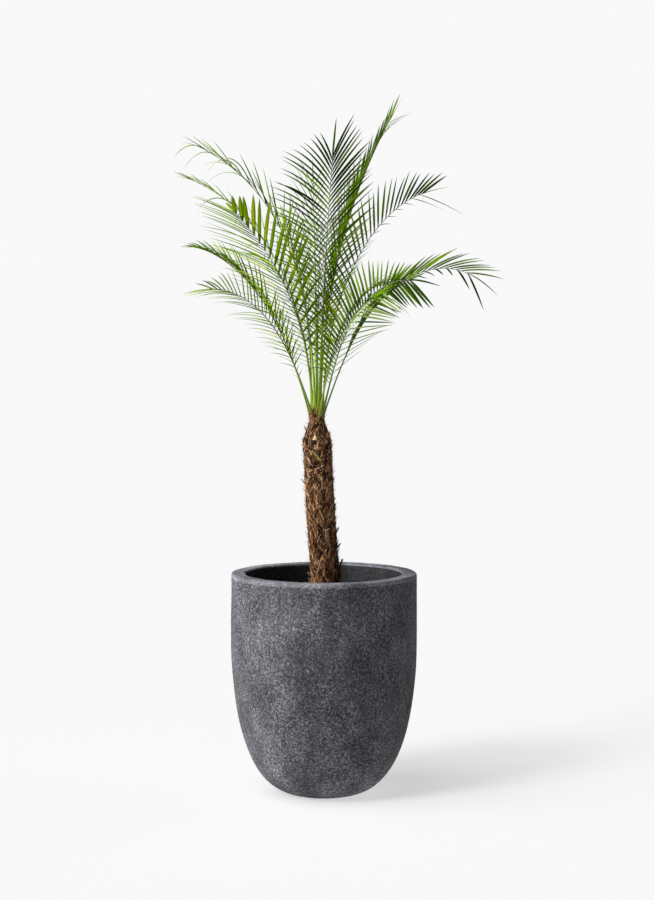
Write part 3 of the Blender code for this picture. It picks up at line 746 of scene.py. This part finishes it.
def make_crumbs():
    """Loose crumbs of soil and bark on the soil, each a small rough diamond: five corners round it,
    at four widths up it, with every corner moved by its own share."""
    draw = np.random.default_rng(CRUMB_SEED)
    distance = np.sqrt(draw.uniform(*CRUMB_AREA, CRUMB_COUNT)) * soil_reach()
    around = draw.uniform(0, 2 * math.pi, CRUMB_COUNT)
    size = draw.uniform(*CRUMB_SIZES, CRUMB_COUNT)
    middle = np.stack([distance * np.cos(around), distance * np.sin(around),
                       np.full(CRUMB_COUNT, SOIL_LEVEL - CRUMB_SINK)], -1)
    widths = np.array(CRUMB_WIDTHS)[:, None, None]
    heights = np.array(CRUMB_HEIGHTS)[:, None, None]
    stations = outward_at(round_turn(5)) * widths + heights * (0, 0, 1)
    shape = stations[None] * size[:, None, None, None] * draw.uniform(*CRUMB_RAGGED, (CRUMB_COUNT, 4, 5, 1))
    stretch = draw.uniform(*CRUMB_STRETCH, (CRUMB_COUNT, 1, 1, 3)) * CRUMB_FLATTENED
    crumbs = shape * stretch + middle[:, None, None]
    kinds = draw.choice(len(CRUMB_COLOURS), CRUMB_COUNT, p=CRUMB_SHARES)
    finishes = plain_finishes("crumb", CRUMB_COLOURS, 0.95, 0.2)
    stand_in(joined_rods("soil_crumbs", crumbs, kinds, finishes, creased=False), "soil")


def trunk_centre(z):
    """The middle of the trunk at each height: a straight lean plus a sine bow."""
    t = (np.asarray(z, float) - TRUNK_FOOT) / (TRUNK_TOP - TRUNK_FOOT)
    x = TRUNK_FOOT_X + TRUNK_LEAN_X * t + TRUNK_BOW_X * np.sin(math.pi * np.clip(t, 0, 1))
    return np.stack([x, np.zeros_like(x), np.asarray(z, float)], -1)


def trunk_radius(z):
    """The trunk's radius at each height: a flare that fades upwards, a column, and a shoulder."""
    z = np.asarray(z, float)
    flare = TRUNK_FLARE * np.exp(-(z - TRUNK_FOOT) / TRUNK_FLARE_HEIGHT)
    above = np.clip((z - TRUNK_SHOULDER) / (TRUNK_TOP - TRUNK_SHOULDER), 0, 1)
    kept = (1 - above ** TRUNK_SHOULDER_START) ** TRUNK_SHOULDER_END
    return TRUNK_CROWN_RADIUS + (TRUNK_RADIUS + flare - TRUNK_CROWN_RADIUS) * kept


def make_trunk_core():
    """The trunk's ground: its radius at each height plus lumpy and streaky waves."""
    turn = round_turn(TRUNK_TURNS)
    z = np.linspace(TRUNK_FOOT - TRUNK_SINK, TRUNK_TOP, TRUNK_RINGS)[:, None]
    relief = BARK_LUMP * waves(turn, z, BARK_LUMP_FIELD) + BARK_STREAK * waves(turn, z, BARK_STREAK_FIELD)
    radius = trunk_radius(z) + relief - BARK_SINK
    points = trunk_centre(z) + radius[..., None] * outward_at(turn)[None]
    stand_in(wrapped_surface("trunk_core", points, [bark_finish()]), "bark", "trunk")


def make_leaf_bases():
    """Broken old leaf bases all over the trunk, on a golden spiral. Each is a flake: its half width
    shrinks with the height up it, it bends round the trunk with the square of the distance from its
    middle, lifts off with a power of the height, and thins towards its torn top."""
    draw = np.random.default_rng(BASE_SEED)
    count = BASE_COUNT
    step = (np.arange(count) + draw.uniform(-0.4, 0.4, count)) / count
    z0 = TRUNK_FOOT - TRUNK_SINK + step * (BASE_TOP - TRUNK_FOOT)
    turn = np.arange(count) * GOLDEN_ANGLE + draw.normal(0, 0.25, count)
    radius = trunk_radius(z0)
    small = np.clip(radius / TRUNK_RADIUS, BASE_SMALLEST, 1)
    length = draw.uniform(*BASE_LENGTHS, count) * small
    lift = draw.uniform(*BASE_LIFTS, count) * small
    half = draw.uniform(*BASE_HALF_WIDTHS, count) * small
    v = np.linspace(0, 1, BASE_STATIONS)[None, :, None]
    a = np.array([-1.0, -0.5, 0.0, 0.5, 1.0])
    ragged = 1 + draw.uniform(-BASE_RAGGED, BASE_RAGGED, (count, 1, len(a))) * v ** 2
    wavy = 1 + draw.uniform(-BASE_WAVY, BASE_WAVY, (count, BASE_STATIONS, 1))
    width = half[:, None, None] * (1 - BASE_NARROWS * v ** 1.4) * a * wavy
    rise = length[:, None, None] * v * ragged
    hug = width ** 2 / (2 * radius[:, None, None])
    taper = trunk_radius(z0[:, None, None] + rise) - radius[:, None, None]
    out = length[:, None, None] * lift[:, None, None] * v ** 1.5 - hug - BASE_SINK + taper
    rough = BASE_ROUGHNESS * draw.uniform(0.3, 2.0, (count, BASE_STATIONS, len(a)))
    thick = BASE_THICKNESS * (1 - 0.7 * v) * (1 - 0.6 * np.abs(a)) + rough
    lean = draw.normal(0, BASE_LEAN, count)[:, None, None] * rise
    base = trunk_centre(z0) + radius[:, None] * outward_at(turn)

    def place(outwards, sideways, upwards):
        shape = (base[:, None, None] + outwards[..., None] * outward_at(turn)[:, None, None]
                 + sideways[..., None] * sideways_at(turn)[:, None, None])
        return shape + upwards[..., None] * np.array([0.0, 0.0, 1.0])

    front = place(out + thick, width + lean, rise)
    back = place(out - thick * 0.2, width + lean, rise)
    rings = np.concatenate([front, back[:, :, ::-1]], axis=2)
    kinds = draw.choice(len(BASE_COLOURS), count, p=BASE_SHARES)
    finishes = plain_finishes("base", BASE_COLOURS, 0.85)
    stand_in(joined_rods("old_leaf_bases", rings, kinds, finishes, creased=False), "bark")


def ribbons(start, heading, length, width, thickness, lift, sway, stations):
    """Thin four-cornered ribbons that run over the trunk. Each starts at an angle and a height,
    climbs at its heading, follows the trunk's radius and, round the feet of the stalks, that of a
    fibrous sheath, and lifts off it with the square of the share of its length; sway bends it
    sideways along a sine."""
    turn0, z0 = start
    u = np.linspace(0, 1, stations)[None]
    climb = length[:, None] * u * np.cos(heading)[:, None]
    z = z0[:, None] + climb
    radius = np.maximum(trunk_radius(np.clip(z, TRUNK_FOOT, TRUNK_TOP)), FIBRE_SHEATH_RADIUS)
    across = length[:, None] * u * np.sin(heading)[:, None] + sway[:, None] * np.sin(2 * math.pi * u)
    turn = turn0[:, None] + across / np.maximum(radius, 0.012)
    out = radius + FIBRE_CLEARANCE + lift[:, None] * u ** 2
    middle = trunk_centre(z) + out[..., None] * outward_at(turn)
    along = unit(np.gradient(middle, axis=1))
    normal = outward_at(turn)
    side = unit(np.cross(normal, along))
    taper = (1 - FIBRE_NARROWS * u ** 2)[..., None] * width[:, None, None] / 2
    skin = thickness * normal
    return np.stack([middle - side * taper, middle + skin, middle + side * taper, middle - skin], axis=2)


def spread_fibres(draw, fibres):
    """Fibres that criss-cross over the trunk at random, some of them loose hairs that stand out."""
    count = fibres.count
    start = draw.uniform(0, 2 * math.pi, count), draw.uniform(TRUNK_FOOT - FIBRE_BELOW, FIBRE_TOP, count)
    heading = draw.choice([-1, 1], count) * np.abs(draw.normal(FIBRE_HEADING, FIBRE_HEADING_SCATTER, count))
    length = draw.uniform(fibres.shortest, fibres.longest, count)
    loose = draw.uniform(0, 1, count) < fibres.loose
    lift = np.where(loose, draw.uniform(*LOOSE_LIFTS, count), draw.uniform(*FLAT_LIFTS, count))
    width = draw.uniform(*FIBRE_WIDTHS, count) * np.where(loose, LOOSE_NARROWER, 1.0)
    sway = draw.normal(0, FIBRE_SWAY, count)
    return ribbons(start, heading, length, width, FIBRE_THICKNESS, lift, sway, fibres.stations)


def make_fibres():
    """The long fibres and the shorter bits between them, each with one of the fibre colours."""
    draw = np.random.default_rng(FIBRE_SEED)
    finishes = plain_finishes("fibre", FIBRE_COLOURS, 0.85)
    spreads = {name: spread_fibres(draw, fibres) for name, fibres in FIBRES.items()}
    for name, rings in spreads.items():
        kinds = draw.choice(len(FIBRE_COLOURS), len(rings), p=FIBRES[name].shares)
        stand_in(joined_rods(name, rings, kinds, finishes), "bark")


def make_marks():
    """The marks that stand out on the front of the trunk, each a ribbon with its own place: cut
    stubs, straps of old sheath, pale torn edges, a black spike and the dry strip at the foot."""
    fields = list(zip(*MARKS))[:-1]
    across, low, turned, length, width, lift = (np.array(values, float) for values in fields)
    turn = -math.pi / 2 + np.arcsin(np.clip(across / trunk_radius(low), -1, 1))
    heading, still = np.radians(turned), np.zeros(len(MARKS))
    rings = ribbons((turn, low), heading, length, width, MARK_THICKNESS, lift, still, MARK_STATIONS)
    kinds = [list(MARK_COLOURS).index(mark.colour) for mark in MARKS]
    finishes = plain_finishes("mark", MARK_COLOURS, 0.7, 0.3)
    stand_in(joined_rods("trunk_marks", rings, kinds, finishes), "bark")


def rib_frame(frond, share_at):
    """Points along a rib, with its tangent, side and upper directions, at shares of its length.
    The slope changes from foot to tip with the share raised to a power, the heading with the share
    itself, and the rib is the running sum of short steps along them."""
    share = (np.arange(RIB_STEPS) + 0.5) / RIB_STEPS
    slope = np.radians(frond.slope_foot + (frond.slope_tip - frond.slope_foot) * share ** frond.late)
    heading = np.radians(frond.lean + frond.swing * share)
    step = np.stack([np.cos(slope) * np.cos(heading), np.cos(slope) * np.sin(heading), np.sin(slope)], 1)
    lean, tilt = math.radians(frond.lean), math.radians(frond.slope_foot)
    nearest = frond.foot + RIB_RADIUS * math.cos(tilt)
    out = trunk_radius(nearest) + RIB_RADIUS * math.sin(tilt) + FOOT_CLEARANCE
    start = trunk_centre(frond.foot) + out * np.array([math.cos(lean), math.sin(lean), 0.0])
    line = np.vstack([start, start + np.cumsum(step * frond.length / RIB_STEPS, axis=0)])
    at = np.asarray(share_at) * RIB_STEPS
    knots, middles = np.arange(RIB_STEPS + 1), np.arange(RIB_STEPS) + 0.5
    points = np.stack([np.interp(at, knots, line[:, k]) for k in range(3)], 1)
    tangent = unit(np.stack([np.interp(at, middles, step[:, k]) for k in range(3)], 1))
    turn = np.interp(at, middles, heading)
    side = sideways_at(turn)
    upper = unit(np.cross(tangent, side))
    return points, tangent, side, upper


def rolled(side, upper, roll):
    """Side and upper directions turned about the rib by an angle."""
    roll = np.asarray(roll)[..., None]
    return side * np.cos(roll) + upper * np.sin(roll), upper * np.cos(roll) - side * np.sin(roll)


def leaflet_length(share, longest):
    """Leaflets grow along a sine to full length just before mid frond, then shorten with the
    square of the share to their length at the tip."""
    grown = np.sin(math.pi / 2 * np.clip(share / LEAFLET_LONGEST_AT, 0, 1))
    rising = LEAFLET_SHORTEST_SHARE + (1 - LEAFLET_SHORTEST_SHARE) * grown
    past = np.clip((share - LEAFLET_LONGEST_AT) / (1 - LEAFLET_LONGEST_AT), 0, 1)
    return longest * np.where(share < LEAFLET_LONGEST_AT, rising, 1 - (1 - LEAFLET_TIP_SHARE) * past ** 2)


def blades(root, direction, across, length, width, droop, curl):
    """Leaflets as thin keeled blades. The direction turns down by twice the droop times the share,
    and is summed up along the length. The half width rises along a sine over the first quarter and
    falls off to the tip with a power of the share, higher for a wide blade, which so ends blunter.
    The keel is deepest at the foot and flattens out."""
    u = np.linspace(0, 1, LEAFLET_STATIONS)
    bend = 2 * u[None, :, None] * (droop[:, None, None] * np.array([0.0, 0.0, -1.0]) + curl[:, None])
    heading = unit(direction[:, None] + bend)
    step = heading * length[:, None, None] / (LEAFLET_STATIONS - 1)
    middle = root[:, None] + np.cumsum(step, axis=1) - step
    side = unit(across[:, None] - heading * (heading * across[:, None]).sum(-1, keepdims=True))
    normal = np.cross(heading, side)
    blunt = BLADE_BLUNTNESS + WIDE_BLUNTNESS * np.clip(width - WIDE_FROM, 0, WIDEST_MORE)[:, None]
    swell = BLADE_FOOT + (1 - BLADE_FOOT) * np.sin(np.clip(u / BLADE_FULL_AT, 0, 1) * math.pi / 2)
    body = swell * (1 - BLADE_FALL * u ** blunt)
    half = width[:, None] / 2 * body
    fold = np.radians(LEAFLET_CREASE * (1 - u) ** 1.5 + LEAFLET_EDGE_CREASE)
    edge_out, edge_up = (half * np.cos(fold))[..., None], (half * np.sin(fold))[..., None]
    left = middle - side * edge_out + normal * edge_up
    right = middle + side * edge_out + normal * edge_up
    depth = LEAFLET_THICKNESS * np.clip(body, 0.15, 1)[..., None] * normal
    return np.stack([left, middle - depth, right, middle + depth * 0.2], axis=2)


def leaflet_places(frond, look):
    """The share of each leaflet along the leafy part of its frond and its hand, -1 or +1: pairs at
    even gaps, from which each hand keeps one in so many, counted from the tip."""
    pairs = round(frond.length * (1 - frond.stalk) / look.gap)
    number = np.repeat(np.arange(pairs), 2)
    share = np.repeat(np.linspace(LEAFLET_FIRST, 1, pairs), 2)
    hand = np.tile([-1.0, 1.0], pairs)
    each = np.where(hand < 0, *(np.where(share < 0.5, *one.each) for one in (look.left, look.right)))
    grows = (pairs - 1 - number) % each == 0
    stagger = np.where(hand > 0, HAND_STAGGER / pairs, 0.0)
    along = np.clip(frond.stalk + (1 - frond.stalk) * (share * LEAFLET_LAST + stagger), 0, 1)
    return share[grows], hand[grows], along[grows]


def dealt_greens(draw, look, hand, inner):
    """The number of each leaflet's green, drawn from the palette of its hand's foot or tip. The
    tip's palette grows likelier towards the tip, and the leaflet at the very tip has the right
    hand's."""
    far = draw.uniform(0, 1, len(hand)) < np.clip(2.2 * inner - 0.9, 0, 1)
    kind = np.append(np.where(hand < 0, 0, 2) + far, 3)
    chosen = np.zeros(len(kind), int)
    for palette, greens in enumerate(look.left.greens + look.right.greens):
        shares = np.array([greens.get(name, 0) for name in GREENS], float)
        picked = kind == palette
        chosen[picked] = draw.choice(len(GREENS), picked.sum(), p=shares / shares.sum())
    return chosen


def frond_blades(name):
    """A frond's leaflets by the rule of its solid, closer together: their roots and directions at
    even steps along the rib, scattered a little, on both hands, with one more at its tip. Each hand
    has its own figures, which run evenly from the foot of the frond to its tip. The first leaflets
    are short spines, and a loose one is longer and hangs."""
    frond, look = FRONDS[name], LOOKS[name]
    draw = np.random.default_rng(sum(map(ord, name)))
    share, hand, along = leaflet_places(frond, look)
    inner = np.clip(share, 0, 1)
    count = len(share)

    def figure(field, places=None):
        """A figure of each leaflet's hand between the values it has at places along the frond."""
        values = [np.atleast_1d(getattr(one, field)) for one in (look.left, look.right)]
        return np.where(hand < 0, *(np.interp(inner, places or np.linspace(0, 1, len(known)), known)
                                    for known in values))

    def scatter(field, *shape):
        """Random steps for each leaflet, as wide as the look says."""
        return SCATTER[field] * look.scatter * draw.normal(0, 1, (count, *shape))

    root, tangent, side, upper = rib_frame(frond, along)
    side, upper = rolled(side, upper, np.full(count, math.radians(frond.roll)))
    fold = np.radians(frond.fold + figure("fold") + scatter("fold"))[:, None]
    angle = LEAFLET_BASE_ANGLE + (LEAFLET_TIP_ANGLE - LEAFLET_BASE_ANGLE) * inner ** look.lag
    spread = (frond.spread * figure("open") * angle + scatter("spread"))[:, None]
    outward = side * hand[:, None] * np.cos(fold) + upper * np.sin(fold)
    direction = unit(tangent * np.cos(spread) + outward * np.sin(spread))
    flat = unit(tangent - direction * (tangent * direction).sum(-1, keepdims=True))
    lift = np.cross(direction, flat)
    lift *= np.sign((lift * upper).sum(-1, keepdims=True))
    twist = np.radians(figure("twist") + scatter("twist"))[:, None]
    across = flat * np.cos(twist) - lift * np.sin(twist)
    across *= np.sign((np.cross(direction, across) * upper).sum(-1, keepdims=True))

    length = leaflet_length(inner, frond.leaf) * figure("reach", REACH_AT)
    length = length * draw.uniform(*LEAFLET_LENGTHS, count)
    width = figure("width") * draw.uniform(*LEAFLET_WIDTHS, count)
    width = width * (0.70 + 0.30 * np.sin(math.pi / 2 * np.clip(inner / 0.5, 0, 1)))
    spine = share < 0.0
    hangs = draw.uniform(0, 1, count) < look.loose
    length = length * np.where(spine, SPINE_LENGTH, 1.0) * np.where(hangs, LOOSE_LENGTH, 1.0)
    width = width * np.where(spine, SPINE_WIDTH, 1.0)
    droop = np.where(hangs, draw.uniform(*LOOSE_ARCHES, count), figure("arch")) + np.abs(scatter("arch"))
    curl = scatter("curl", 3)

    with_tip = (root, root + tangent * 0.001), (direction, tangent), (across, side)
    root, direction, across = (np.vstack([pairs, tip[-1:]]) for pairs, tip in with_tip)
    length = np.append(length, frond.leaf * LEAFLET_TIP_SHARE * look.right.reach[-1] * TIP_LENGTH)
    width = np.append(width, look.right.width[1] * TIP_WIDTH)
    droop = np.append(droop, frond.sag)
    rings = blades(root, direction, across, length, width, droop, np.vstack([curl, np.zeros(3)]))
    return rings, dealt_greens(draw, look, hand, inner)


def make_leaflets():
    """One joined mesh of leaflets for each frond, each leaflet in its green and darker at its foot with
    painted shade.
    """
    finishes = plain_finishes("leaf", {name: green.colour for name, green in GREENS.items()}, 0.6, 0.0)
    darker = np.array([list(GREENS).index(green.foot) for green in GREENS.values()])
    for name in FRONDS:
        rings, chosen = frond_blades(name)
        kinds = np.repeat(chosen[:, None], LEAFLET_STATIONS - 1, axis=1)
        # painted shade: the first lengths of each leaflet take the darker green, for the shade in the fold by
        # the rib
        kinds[:, :SHADED_LENGTHS] = darker[chosen][:, None]
        stand_in(joined_rods(name.replace("frond", "leaflets"), rings, kinds, finishes), "leaf", name)


def rib_rings(name, frond):
    """An oval carried along a rib. Its half width falls off from a clasping foot along an
    exponential and then evenly to the tip; below the rib's foot it follows the trunk's shoulder
    down into the fibres."""
    corner = round_turn(RIB_CORNERS)
    share = np.linspace(0, 1, RIB_STATIONS) ** RIB_STATIONS_GATHER
    points, _, side, _ = rib_frame(frond, share)
    z = frond.foot + np.linspace(*ROOT_BELOW, ROOT_STATIONS)
    away = outward_at(np.full(ROOT_STATIONS, math.radians(frond.lean)))
    root = trunk_centre(z) + (trunk_radius(z) * 0.98)[:, None] * away
    middle = np.vstack([root, points])
    side = np.vstack([np.repeat(side[:1], ROOT_STATIONS, 0), side])
    along = unit(np.gradient(middle, axis=0))
    side = unit(side - along * (along * side).sum(-1, keepdims=True))
    share = np.concatenate([np.zeros(ROOT_STATIONS), share])
    roll = np.clip(share / frond.stalk, 0, 1) * math.radians(frond.roll)
    side, upper = rolled(side, np.cross(along, side), roll)
    full = 1 - share
    clasp = np.exp(-share * frond.length / CLASP_FADE)
    stout = 1 + (STOUT_STALKS.get(name, 1.0) - 1) * np.clip(full / 0.4 - 0.75, 0, 1)
    half = (RIB_END + RIB_HALF_WIDTH * full ** 1.5) * stout + CLASP_HALF_WIDTH * clasp
    deep = RIB_END + RIB_DEPTH * full ** 1.5 + CLASP_DEPTH * clasp
    return (middle[:, None] + side[:, None] * (half[:, None] * np.cos(corner))[..., None]
            + upper[:, None] * (deep[:, None] * np.sin(corner))[..., None])


def make_ribs():
    """The stalks and ribs of all the fronds: sheathed in brown at the foot, then a green stalk, a
    duller rib and a thin pale end."""
    rings = np.array([rib_rings(name, frond) for name, frond in FRONDS.items()])
    names = list(RIB_COLOURS)
    bright = np.array([name in BRIGHT_STALKS for name in FRONDS])[:, None]
    station = np.arange(rings.shape[1] - 1) / rings.shape[1]
    stalk = np.where(bright, names.index("bright"), names.index("petiole"))
    rib = np.where(station < THIN_FROM, names.index("rachis"), names.index("thin"))
    kinds = np.where(station < RACHIS_FROM, stalk, rib)
    kinds[:, :ROOT_STATIONS - 1] = names.index("sheath")
    kinds[~bright[:, 0], :ROOT_STATIONS + SHEATHED_LENGTHS] = names.index("sheath")
    finishes = plain_finishes("rib", RIB_COLOURS, 0.5, 0.2)
    stand_in(joined_rods("midribs", rings, kinds, finishes, creased=False), "leaf")


def make_spear():
    """The unopened frond: a slim spindle whose radius has fine pleats round it and swells a little
    above its foot before it runs out to a point."""
    low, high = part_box("spear")
    turn = round_turn(SPEAR_TURNS)
    t = np.linspace(0, 1, SPEAR_RINGS)[:, None]
    radius = SPEAR_RADIUS * (0.75 + 0.45 * np.sin(math.pi * np.clip(t * 1.3, 0, 1))) * (1 - 0.97 * t ** 2.2)
    radius = radius * (1 + SPEAR_PLEAT_DEPTH * np.cos(SPEAR_PLEATS * turn + SPEAR_TWIST * t))
    axis = np.array([(low.x + high.x) / 2, (low.y + high.y) / 2, 0.0])
    z = low.z - SPEAR_ROOT + (high.z - low.z + SPEAR_ROOT - SPEAR_SHORTFALL) * t
    points = axis + np.stack([radius * np.cos(turn), radius * np.sin(turn), z + 0 * turn], -1)
    finish = principled("young_frond", (0.230, 0.370, 0.080), 0.45)[0]
    stand_in(wrapped_surface("young_spear", points, [finish]), "young_leaf", "spear")


def make_light():
    """Soft suns, the bright ones from the left, and a room that is dim and even for the plant and
    white for the camera."""
    for name, lamp in LAMPS.items():
        light = bpy.data.lights.new(name, "SUN")
        light.energy = lamp.strength
        light.angle = math.radians(lamp.spread)
        hung = bpy.data.objects.new(name, light)
        hung.rotation_euler = (math.radians(90 - lamp.height), 0.0, math.radians(lamp.azimuth))
        bpy.context.scene.collection.objects.link(hung)
    world = bpy.data.worlds.new("room")
    bpy.context.scene.world = world
    world.use_nodes = True
    tree = world.node_tree
    room = tree.nodes["Background"]
    room.inputs["Color"].default_value = (*ROOM_TINT, 1.0)
    room.inputs["Strength"].default_value = ROOM_LIGHT
    paper = tree.nodes.new("ShaderNodeBackground")
    paper.inputs["Color"].default_value = (*PAPER_WHITE, 1.0)
    seen = tree.nodes.new("ShaderNodeLightPath")
    pick = tree.nodes.new("ShaderNodeMixShader")
    tree.links.new(seen.outputs["Is Camera Ray"], pick.inputs[0])
    tree.links.new(room.outputs[0], pick.inputs[1])
    tree.links.new(paper.outputs[0], pick.inputs[2])
    tree.links.new(pick.outputs[0], tree.nodes["World Output"].inputs["Surface"])
    bpy.context.scene.view_settings.view_transform = "Standard"


def make_stage():
    """A wide pale floor, lit and lifted so that it runs into the room without a line. The bright
    side on the left leaves it alone, so the key draws the long shadow."""
    corners = [(-FLOOR_REACH, -FLOOR_REACH), (FLOOR_REACH, -FLOOR_REACH),
               (FLOOR_REACH, FLOOR_REACH), (-FLOOR_REACH, FLOOR_REACH)]
    paper, _, shader = principled("pale_paper", FLOOR_GREY, 1.0, 0.0)
    shader.inputs["Emission Color"].default_value = (1.0, 1.0, 1.0, 1.0)
    shader.inputs["Emission Strength"].default_value = FLOOR_GLOW
    floor = new_piece("floor", [(x, y, -FLOOR_DROP) for x, y in corners], [(0, 1, 2, 3)], [paper])
    left_alone = bpy.data.collections.new("left_alone")
    left_alone.objects.link(floor)
    left_alone.collection_objects[0].light_linking.link_state = "EXCLUDE"
    bpy.data.objects["window"].light_linking.receiver_collection = left_alone


def make_camera():
    """The view from the front: a long lens, level with the crown, looking slightly down."""
    data = bpy.data.cameras.new("camera")
    data.lens = CAMERA_LENS
    data.sensor_width = CAMERA_SENSOR
    camera = bpy.data.objects.new("camera", data)
    camera.location = CAMERA_PLACE
    camera.rotation_euler = (math.radians(90 - CAMERA_PITCH), 0.0, 0.0)
    bpy.context.scene.collection.objects.link(camera)
    bpy.context.scene.camera = camera


make_camera()
make_light()
make_stage()
make_pot()
make_soil()
make_crumbs()
make_trunk_core()
make_leaf_bases()
make_fibres()
make_marks()
make_ribs()
make_leaflets()
make_spear()

bpy.context.view_layer.update()
